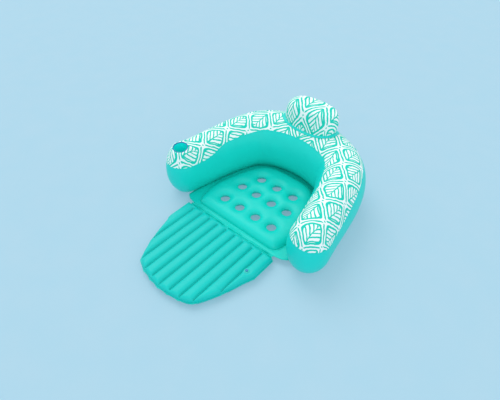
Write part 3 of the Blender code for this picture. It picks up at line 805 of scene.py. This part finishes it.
# ---------------------------------------------------------------- seat
DRAIN_CENTRES = np.array([(x, y) for y, row in DRAIN_ROWS for x in row])
WELL_CENTRE = (0.0, 0.12)
SEAT_LOW = (-0.36, -0.18)
SEAT_HIGH = (0.36, 0.44)
SEAT_GRID = 0.0085
UNDERSIDE_GRID = 0.014
DRAIN_STEPS = 44
PAD_SHOULDER = 0.047           # how far from a weld the pad reaches its full height
UNDERSIDE_SHOULDER = 0.038
SHOULDER_ROUNDNESS = 0.62


def from_drains(points):
    """Distance of each point to the middle of every drain hole."""
    return [np.linalg.norm(points - centre, axis=1) for centre in DRAIN_CENTRES]


def circle(centre, radius, steps):
    turns = [2 * math.pi * step / steps for step in range(steps)]
    return [(centre[0] + radius * math.cos(turn), centre[1] + radius * math.sin(turn)) for turn in turns]


def pad_outline(count=260):
    left = [(-x, y) for x, y in reversed(PAD_BORDER[1:-1])]
    outline = smooth_outline(list(PAD_BORDER) + left, count)
    outline[:, 1] = np.maximum(outline[:, 1], PAD_BORDER[0][1])
    return outline


def wall_foot_reach(fraction):
    rise = 1 - MID_PLANE / between(LOWER_HEIGHT, fraction)
    return between(HALF_WIDTH, fraction) * (1 - rise ** ROUNDNESS) ** (1 / ROUNDNESS)


def skirt_outline(pad):
    """The skirt's edge opposite each point of the pad's border: the ring's foot, then the front."""
    stations = ring_stations()
    inner = stations[len(SPINE) + NOSE_STEPS - 1: -(NOSE_STEPS - 1)]
    foot = np.array([s[0] + s[1] * (wall_foot_reach(s[2]) + 0.001) for s in inner])[::-1]
    front_left = [(-x, y) for x, y in reversed(SKIRT_FRONT[1:])]
    edge = list(SKIRT_FRONT) + [tuple(point) for point in foot] + front_left
    ring = np.array(edge + edge[:1])
    length = length_along(ring)
    ring_angle, pad_angle = [np.unwrap(np.arctan2(*(line - WELL_CENTRE).T[::-1])) for line in (ring, pad)]
    pad_angle += 2 * math.pi * round((ring_angle[0] - pad_angle[0]) / (2 * math.pi))
    return points_at(ring, length, np.interp(pad_angle, ring_angle, length))


def grid_points(low, high, step, keep):
    xs = np.arange(low[0], high[0], step)
    ys = np.arange(low[1], high[1], step * math.sqrt(3) / 2)
    rows = [np.stack([xs + (step / 2 if k % 2 else 0.0), np.full(len(xs), y)], axis=1)
            for k, y in enumerate(ys)]
    points = np.vstack(rows)
    return points[keep(points)]


def ripple(points, scale, seed):
    """Smooth noise from -1 to 1 at each point."""
    return np.array([noise.noise(Vector((x * scale, y * scale, seed))) for x, y in points])


def pad_heights(pad, face, shoulder, underneath):
    """Height function of a pad sheet, which is welded at its border and round every drain hole."""
    def heights(points):
        holes = [away - DRAIN_RADIUS - DRAIN_WELD for away in from_drains(points)]
        lip = DRAIN_LIP[1] * np.clip((-DRAIN_WELD - np.min(holes, axis=0)) / DRAIN_LIP[0], 0.0, 1.0)
        to_drain = np.maximum(soft_minimum(holes, 0.010), 0.0)
        to_border = distance_to_outline(points, pad)
        share = to_border / np.maximum(to_border + to_drain, 1e-4)
        weld = MID_PLANE + (DRAIN_HEIGHT - MID_PLANE) * share ** 0.7
        near = np.maximum(soft_minimum([to_drain, to_border * 0.78], 0.009), 0.0) / shoulder
        full = np.maximum(0.0, 1 - (1 - np.minimum(near, 1.0)) ** 2) ** SHOULDER_ROUNDNESS
        swell = 1 + 0.05 * ripple(points, 9.0, 1.0) + 0.02 * ripple(points, 34.0, 4.0)
        tuck = 0.0022 * ripple(points, 70.0, 7.0) * np.exp(-to_border / 0.012) * np.minimum(near * 6, 1.0)
        limit = 1.0 if underneath else 1.2
        return weld - lip + (face - weld) * full * np.minimum(swell, limit) + tuck

    return heights


def drain_circles(*steps_out):
    """Circles round every drain hole, each a step outside its edge."""
    return [circle(centre, DRAIN_RADIUS + out, DRAIN_STEPS) for centre in DRAIN_CENTRES for out in steps_out]


def make_seat(vinyl):
    pad = pad_outline()
    lip_radius = DRAIN_RADIUS - DRAIN_LIP[0]

    def clear(points):
        from_border = distance_to_outline(points, pad)
        return is_inside(points, pad) & (from_border > 0.018) & (
            np.min(from_drains(points), axis=0) > DRAIN_RADIUS + 0.016)

    def outside(radius):
        return lambda points: np.min(from_drains(points), axis=0) > radius * 0.99

    loops = [pad] + [inset(pad, away) for away in (0.0018, 0.0045, 0.0085, 0.014)]
    loops += drain_circles(-DRAIN_LIP[0]) + drain_circles(0.0, 0.0028, 0.0045, 0.0075, 0.012)
    points = grid_points(SEAT_LOW, SEAT_HIGH, SEAT_GRID, clear)
    heights = pad_heights(pad, PAD_TOP, PAD_SHOULDER, False)
    top = filled_sheet("seat_pad", loops, points, heights, outside(lip_radius))
    top = make_piece("seat_pad", face_up(top), vinyl)
    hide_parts("seat_top_sheet")

    loops = [pad, inset(pad, 0.0085)] + drain_circles(0.0) + drain_circles(0.0075)
    points = grid_points(SEAT_LOW, SEAT_HIGH, UNDERSIDE_GRID, clear)
    under_heights = pad_heights(pad, PAD_BOTTOM, UNDERSIDE_SHOULDER, True)
    under = filled_sheet("seat_underside", loops, points, lambda spots: under_heights(spots) - SHEET_GAP,
                         outside(DRAIN_RADIUS))
    skirt = skirt_mesh(pad, skirt_outline(pad))
    under = join_meshes("seat_underside", face_up(under, False), face_up(skirt))
    under = make_piece("seat_underside", under, vinyl)
    thicken(under, THIN_SKIN)
    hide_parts("seat_base_sheet")


SKIRT_STEPS = (0.0, 0.0015, 0.0035, 0.006, 0.009, 0.0115, 0.0135, 0.0155, 0.018)
SKIRT_SEAMS = ((0.0065, 0.0034), (0.0190, 0.0030))   # how far out, and half width


def skirt_steps(reach):
    """Distances from the pad's border at which the skirt has points: close at its seams, then even."""
    last = SKIRT_STEPS[-1]
    near = [min(distance, reach * 0.9) for distance in SKIRT_STEPS]
    if reach < last + 0.003:
        return near + [reach * (0.92 + 0.08 * k / 4) for k in range(5)]
    return near + [last + (reach - last) * (k + 1) / 5 for k in range(5)]


def skirt_mesh(pad, skirt):
    """The plain band between the pad's border weld and the ring, with its pressed double seam."""
    rows = []
    for inner, outer in zip(flat_vectors(pad), flat_vectors(skirt)):
        reach = (outer - inner).length
        front = ease((-0.135 - inner.y) / 0.02)
        row = []
        for distance in skirt_steps(reach):
            place = inner + (outer - inner) * (distance / reach)
            first, second = [math.exp(-((distance - middle) / width) ** 2) for middle, width in SKIRT_SEAMS]
            seams = 0.0034 * first + 0.0024 * second * front
            sag = 0.0010 * noise.noise(place * 30.0) * min(distance / 0.01, 1.0)
            crumple = 0.0016 * noise.noise(Vector((place.x * 55.0, place.y * 20.0, 5.0))) * front * first
            share = min(max((distance - 0.012) / max(reach - 0.012, 0.01), 0), 1)
            swell = 0.0016 * math.sin(math.pi * share)
            row.append((place.x, place.y, MID_PLANE + seams + sag + crumple + swell))
        rows.append(row)
    return loft("seat_skirt", rows, closed=True)


# ---------------------------------------------------------------- footrest
FOOT_HALF = TUBE_PITCH * TUBE_COUNT / 2
FOOT_SAG = 0.0325              # depth of the underside below its weld
FOOT_GRID = 0.0062
TUBE_ROUNDNESS = 2.6
FRONT_GATHERS = 0.17           # shares of a tube's height
HINGE_GATHERS = 0.30
# Heights of the hinge sheet's folds
DRAWN_FOLDS, FINE_FOLDS, RIDGES, LONG_FOLD, END_FOLDS = 0.0036, 0.0018, 0.0058, 0.0056, 0.0044


def foot_outline(count=420):
    """The footrest's weld line, anticlockwise from the hinge's left corner."""
    left = [(-x, y) for x, y in FOOT_TIP[:-1]]
    curve = flat_vectors(left + list(reversed(FOOT_TIP)))
    smooth = [curve[0]]
    for k in range(len(curve) - 1):
        before = curve[max(k - 1, 0)]
        after = curve[min(k + 2, len(curve) - 1)]
        smooth += curve_through(before, curve[k], curve[k + 1], after, 12)[1:]
    corners = [(-FOOT_HALF, FOOT_HINGE_Y), (FOOT_HALF, FOOT_HINGE_Y)]
    return resample(np.vstack([corners[:1], as_line(smooth), corners[::-1]]), count)


def crease_lines():
    """The nine welded creases between the tubes. Each ends short of the footrest's edge."""
    tips = np.array(FOOT_TIP[::-1])
    lines = []
    for number in range(1, TUBE_COUNT):
        x = -FOOT_HALF + number * TUBE_PITCH
        tip = float(np.interp(abs(x), tips[:, 0], tips[:, 1]))
        front = tip + (0.0100 + 0.0030 * math.sin(number * 2.3))
        back = FOOT_HINGE_Y - 0.019 - 0.005 * math.sin(number * 1.9)
        lines.append(np.array([(x, back), (x, front)]))
    return lines


def foot_heights(outline, reach):
    creases = crease_lines()
    front_of = np.array([point for point in outline if point[1] < FOOT_HINGE_Y - 0.17])

    def heights(points):
        to_edge = distance_to_outline(points, outline)
        to_crease = np.min([distance_to_line(points, line) for line in creases], axis=0)
        near = np.maximum(soft_minimum([to_edge * 1.25, to_crease], 0.0045), 0.0) / (TUBE_PITCH / 2)
        near = np.minimum(near, 1.0)
        full = (1 - (1 - near) ** TUBE_ROUNDNESS) ** (1 / TUBE_ROUNDNESS)
        to_front = distance_to_line(points, front_of)
        gathers = np.abs(ripple(points, 44.0, 2.0)) * np.exp(-to_front / 0.020)
        hinge = np.exp(-np.abs(points[:, 1] - FOOT_HINGE_Y) / 0.020) * ripple(points * (1.0, 0.6), 46.0, 9.0)
        soft = 1 + 0.035 * ripple(points * (1.0, 0.35), 12.0, 3.0)
        swell = full * soft - (FRONT_GATHERS * gathers - HINGE_GATHERS * hinge) * np.minimum(near * 3, 1.0)
        return MID_PLANE + math.copysign(0.0003, reach) + reach * np.maximum(swell, 0.0)

    return heights


def make_footrest(vinyl):
    outline = foot_outline()
    loops = [outline, inset(outline, 0.0015), inset(outline, 0.004)]
    xs = np.arange(-66, 67) * (TUBE_PITCH / 13)
    ys = np.arange(FOOT_HINGE_Y, -0.74, -FOOT_GRID)
    points = np.array([(x, y) for x in xs for y in ys])
    points = points[is_inside(points, outline) & (distance_to_outline(points, outline) > 0.0060)]

    rise = FOOT_TOP - SKIN - MID_PLANE
    top = filled_sheet("footrest_tubes", loops, points, foot_heights(outline, rise))
    top = make_piece("footrest_tubes", face_up(top), vinyl, "footrest")
    settle_round_valve(top, "footrest")
    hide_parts("footrest_top_sheet")

    under = filled_sheet("footrest_underside", loops, points, foot_heights(outline, -FOOT_SAG))
    under = make_piece("footrest_underside", face_up(under, False), vinyl, "footrest")
    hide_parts("footrest_bottom_sheet")

    flange = make_piece("footrest_edge_weld", flange_mesh(outline), vinyl, "footrest")
    thicken(flange, SKIN)
    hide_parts("footrest_weld_flange")


def flange_mesh(outline):
    """The flat weld round the footrest, drawn in between the tubes."""
    outward = -(inset(outline, 1.0) - outline)
    rows = []
    for (x, y), (out_x, out_y) in zip(outline, outward):
        at_hinge = y > FOOT_HINGE_Y - 0.002
        scallop = 0.0060 * (0.5 - abs(math.sin(math.pi * x / TUBE_PITCH))) if y < -0.36 else 0.0
        width = 0.0012 if at_hinge else FOOT_FLANGE - SHEET_GAP + scallop
        row = []
        for share in (-0.25, 0.0, 0.35, 0.7, 1.0):
            lift = 0.0013 * noise.noise(Vector((x, y, 0.0)) * 52.0) * max(share, 0.0)
            row.append((x + out_x * width * share, y + out_y * width * share, MID_PLANE + lift))
        rows.append(row)
    return loft("footrest_edge_weld", rows, closed=True)


def web_fold(across, share):
    """Height of the hinge sheet's folds at a place across the float, a share of the way forward."""
    drawn = noise.noise(Vector((across * 24.0 + share * 1.4, share * 1.1, 0.0)))
    fine = noise.noise(Vector((across * 75.0 - share * 2.0, share * 3.0, 8.0)))
    wander = 0.25 * noise.noise(Vector((across * 9.0, 2.0, 0.0)))
    fold = math.exp(-((share - 0.45 - wander) / 0.13) ** 2)
    ridge = 1 - 2.4 * abs(noise.noise(Vector((across * 10.0 + share * 1.6, share * 1.3, 4.0))))
    near_end = math.exp(-((WEB_SIDE - abs(across) - 0.05) / 0.05) ** 2)
    end_fold = near_end * math.sin(share * 19.0 + abs(across) * 30.0)
    return (DRAWN_FOLDS * drawn + FINE_FOLDS * fine + RIDGES * ridge + LONG_FOLD * fold
            + END_FOLDS * end_fold)


def make_web(vinyl):
    """The thin sheet between seat and footrest, which is the footrest's hinge."""
    back = WEB_BACK_Y
    front = FOOT_HINGE_Y - 0.0008
    shares = np.linspace(0.0, 1.0, 26)
    rows = [[(across, back + (front - back) * share,
              MID_PLANE + math.sin(math.pi * share) * web_fold(across, share)) for share in shares]
            for across in np.linspace(-WEB_SIDE, WEB_SIDE, 300)]
    web = make_piece("footrest_hinge_sheet", face_up(loft("footrest_hinge_sheet", rows)), vinyl, None)
    thicken(web, THIN_SKIN)
    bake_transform(web)
    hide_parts("footrest_hinge_web")


# ---------------------------------------------------------------- headrest
PILLOW_PLEATS = 0.0044         # height of the gathers at the pillow's foot
PILLOW_DENTS = 0.0022


def pillow_outline(scale, steps=176):
    """The pillow's oval footprint, bent to follow the ring's curve."""
    points = []
    for turn in np.linspace(0, 2 * math.pi, steps, endpoint=False):
        across = math.copysign(abs(math.cos(turn)) ** PILLOW_SQUARENESS[0], math.cos(turn))
        deep = math.copysign(abs(math.sin(turn)) ** PILLOW_SQUARENESS[1], math.sin(turn))
        x = PILLOW_CENTRE[0] + PILLOW_HALF[0] * scale * across
        y = PILLOW_CENTRE[1] + PILLOW_HALF[1] * scale * deep - PILLOW_CURVE * x * x
        points.append((x, y))
    return np.array(points)


def pillow_profile(steps):
    """Smooth (share, rise) pairs through the profile's points, from the foot to the crown."""
    knots = flat_vectors(PILLOW_PROFILE)
    beside = [Vector((0.97, -0.10, 0.0))] + knots + [Vector((-0.52, 0.98, 0.0))]
    dense = []
    for k in range(len(beside) - 3):
        dense += curve_through(*beside[k:k + 4], 17)[:-1]
    return resample(as_line(dense + knots[-1:]), steps, closed=False)


def make_headrest(cloth, vinyl):
    base = pillow_outline(1.0)
    feet = np.array([ring_height(x, y) for x, y in base]) + 0.004
    rows = []
    for share, rise in pillow_profile(46):
        loop = pillow_outline(max(share, 0.0)) + (0.0, PILLOW_LEAN * rise)
        rows.append([[x, y, foot + (PILLOW_TOP - SKIN - foot) * rise] for (x, y), foot in zip(loop, feet)])
    grid = np.array(rows)
    pucker_pillow(grid)
    columns = grid.transpose(1, 0, 2)
    outward = base - inset(base, 1.0)
    flats = [unrolled(column, side) for column, side in zip(columns, outward)]
    pillow = make_piece("headrest_pillow", loft("headrest_pillow", columns, True, flats), cloth)
    settle_round_valve(pillow, "headrest")
    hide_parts("headrest_cover")

    flange = make_piece("headrest_foot_weld", loft("headrest_foot_weld", foot_weld_rows(), True), vinyl)
    thicken(flange, 0.0018)
    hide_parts("headrest_weld_flange", "headrest_base_sheet")


def foot_weld_rows():
    """The band of vinyl that welds the pillow to the ring, following the ring's top."""
    rows = []
    for inner, outer in zip(pillow_outline(0.97), pillow_outline(1 + PILLOW_FLANGE / PILLOW_HALF[1])):
        row = []
        for share in (0.0, 0.25, 0.5, 0.7, 0.85, 1.0):
            place = inner + (outer - inner) * share
            wave = 0.0012 * noise.noise(Vector((*place, 0.0)) * 60.0) * share
            row.append((*place, ring_height(*place) + 0.0042 + wave - 0.0016 * share))
        rows.append(row)
    return rows


def unrolled(column, outward):
    """Places on the flat cloth of a column of points, from the pillow's foot to its crown."""
    flat = [column[-1][:2] - np.array(PILLOW_CENTRE)]
    for here, there in zip(column[::-1], column[-2::-1]):
        step = there - here
        steep = np.linalg.norm(step) - np.linalg.norm(step[:2])
        flat.append(flat[-1] + step[:2] + outward * steep)
    return [tuple(place) for place in reversed(flat)]


def pucker_pillow(grid):
    """Gather the cloth at the pillow's foot weld and keep faint dents above it."""
    levels, around, _ = grid.shape
    middle = np.array((*PILLOW_CENTRE, 0.0))
    for level in range(levels):
        rise = level / (levels - 1)
        gather = math.exp(-rise / 0.10)
        for step in range(around):
            point = grid[level, step]
            outward = point - middle
            outward[2] = 0.0
            outward /= max(np.linalg.norm(outward), 1e-6)
            turn = 2 * math.pi * step / around
            pleat = noise.noise(Vector((math.cos(turn) * 9.0, math.sin(turn) * 9.0, rise * 0.6)))
            dent = noise.noise(Vector(point) * 13.0)
            fade = min(1.0, (1 - rise) / 0.25)
            grid[level, step] = point + outward * (PILLOW_PLEATS * pleat * gather * min(rise / 0.03, 1.0)
                                                   + PILLOW_DENTS * dent * fade * min(rise / 0.1, 1.0))


# ---------------------------------------------------------------- cup holder and valves
# Each valve's place, its way out and the body it is welded to
VALVES = {"ring": ((0.1849, 0.7052, 0.1516), (0.2529, 0.9675, 0.0), "float"),
          "seat": ((0.245, 0.040, 0.0106), (0.0, 0.0, -1.0), "float"),
          "footrest": ((0.289, -0.366, 0.0615), (0.0, 0.0, 1.0), "footrest"),
          "headrest": ((0.1064, 0.6500, 0.4404), (0.2607, 0.9653, -0.0182), "float")}
CUP_RIM = ((0.0049, -0.018), (0.0055, -0.004), (0.0055, 0.0006), (0.0047, 0.0019), (0.0033, 0.0025),
           (0.0020, 0.0025), (0.0006, 0.0018), (0.0, 0.0004), (0.0, -0.0045))
CUP_WALL = ((-0.0003, -0.0025), (-0.0010, -0.0055), (-0.0014, -0.020), (-0.0022, -0.022), (-0.0024, -0.045))
CUP_FLOOR = ((0.0, 0.006), (-0.0018, 0.0026), (-0.006, 0.0016), (-0.014, 0.0018), (-0.016, 0.0030),
             (-0.018, 0.0018))
CUP_OUTSIDE = ((-0.0008, -0.045), (0.0002, -0.0030))


def make_cup_holder(cup_plastic_painted_light, rim_plastic):
    """Rim and cup. Their profiles are measured from the cup's inside radius and the rim's level."""
    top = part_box("cup_holder_rim")[1][2]
    place = Matrix.Translation((*CUP_CENTRE, top - 0.0025)) @ CUP_TILT
    rim = [(CUP_RADIUS + out, height) for out, height in CUP_RIM]
    piece = lathe("cup_holder_ring", rim, rim_plastic, "float", place, 120)
    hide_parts("cup_holder_rim")

    floor = CUP_RADIUS - 0.0050
    wall = [(CUP_RADIUS + out, height) for out, height in CUP_WALL]
    wall += [(floor + out, height - CUP_DEPTH) for out, height in CUP_FLOOR]
    wall += [(0.0, 0.0018 - CUP_DEPTH), (0.0, -CUP_DEPTH), (floor, -CUP_DEPTH)]
    wall += [(CUP_RADIUS + out, height) for out, height in CUP_OUTSIDE]
    piece = lathe("cup_holder_bowl", wall, cup_plastic_painted_light, "float", place, 120)
    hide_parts("cup_holder_cup")


def settle_round_valve(obj, name):
    """Draw the sheet flat against the underside of a valve's disc."""
    place, outward = (Vector(value) for value in VALVES[name][:2])
    outward.normalize()
    for vertex in obj.data.vertices:
        offset = vertex.co - place
        height = offset.dot(outward)
        away = (offset - outward * height).length
        if away < 0.030 and abs(height) < 0.015:
            vertex.co -= outward * (height + 0.0010) * ease((0.030 - away) / 0.014)


COLLAR = ((0.0068, -0.0050), (0.0084, -0.0050), (0.0084, -0.0010), (0.0136, -0.0009), (0.0139, 0.0),
          (0.0134, 0.0007), (0.0104, 0.0010), (0.0098, 0.0016), (0.0090, 0.0014), (0.0084, 0.0018),
          (0.0074, 0.0019), (0.0068, 0.0015), (0.0068, -0.0050))
TUBE = ((0.0044, -0.0120), (0.0060, -0.0120), (0.0064, -0.0112), (0.0064, 0.0024), (0.0060, 0.0030),
        (0.0048, 0.0030), (0.0044, 0.0026), (0.0044, -0.0120))
STOPPER = ((0.0, -0.0036), (0.0036, -0.0032), (0.0040, -0.0024), (0.0040, 0.0032), (0.0066, 0.0034),
           (0.0072, 0.0038), (0.0072, 0.0048), (0.0066, 0.0055), (0.0040, 0.0056), (0.0034, 0.0051),
           (0.0018, 0.0050), (0.0, 0.0050))
LEAF = ((0.0, -0.0132), (0.0056, -0.0131), (0.0060, -0.0128), (0.0060, -0.0124), (0.0, -0.0124))


def make_valve(name, place, outward, body, plastic, disc_plastic):
    """Flange, sliding stem, plug and non-return flap, each on its own body."""
    matrix = Matrix.Translation(place) @ Vector(outward).to_track_quat("Z", "Y").to_matrix().to_4x4()
    parts = (("collar", COLLAR, disc_plastic, body, "flange"),
             ("tube", TUBE, plastic, name + "_stem", "stem"),
             ("stopper", STOPPER, plastic, name + "_plug", "plug"),
             ("leaf", LEAF, plastic, name + "_flap", "flap"))
    for part, profile, material, rider, node in parts:
        piece = lathe(f"{name}_valve_{part}", profile, material, rider, matrix, 48)
        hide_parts(f"{name}_valve_{node}")


# ---------------------------------------------------------------- build
bpy.context.scene.view_settings.view_transform = "Standard"
add_camera()
add_studio()
# The walls' teal is lighter than the seat's: painted light, lifting the shade on the ring's upright walls
# and underside.
WALL_VINYL = vinyl_material("wall_vinyl", (0.010, 0.720, 0.640))
SEAT_VINYL = vinyl_material("seat_vinyl", (0.004, 0.680, 0.590), 0.40)
FOOT_VINYL = vinyl_material("foot_vinyl", (0.004, 0.600, 0.545), 0.42)
RING_CLOTH = print_material("ring_cloth", LEAF_AXIS, (-0.432, -0.1865))
PILLOW_CLOTH = print_material("pillow_cloth", 0.0, (-0.077, 0.0704), (0.99, 0.70))
VALVE_BLUE = moulded_material("valve_blue", (0.012, 0.245, 0.480), 0.35)
DISC_TEAL = moulded_material("disc_teal", (0.006, 0.560, 0.500), 0.32)
RIM_BLUE = moulded_material("rim_blue", (0.004, 0.170, 0.440), 0.32)
# The cup's teal is painted far lighter than its plastic: painted light, standing in for light through the
# translucent cup and lifting the shade in its deep recess.
CUP_TEAL_PAINTED_LIGHT = moulded_material("cup_teal_painted_light", (0.002, 0.860, 0.800), 0.42)

make_ring(RING_CLOTH, WALL_VINYL)
make_seat(SEAT_VINYL)
make_footrest(FOOT_VINYL)
make_web(SEAT_VINYL)
make_headrest(PILLOW_CLOTH, WALL_VINYL)
make_cup_holder(CUP_TEAL_PAINTED_LIGHT, RIM_BLUE)
for valve_name, (valve_place, valve_outward, valve_body) in VALVES.items():
    make_valve(valve_name, valve_place, valve_outward, valve_body, VALVE_BLUE, DISC_TEAL)
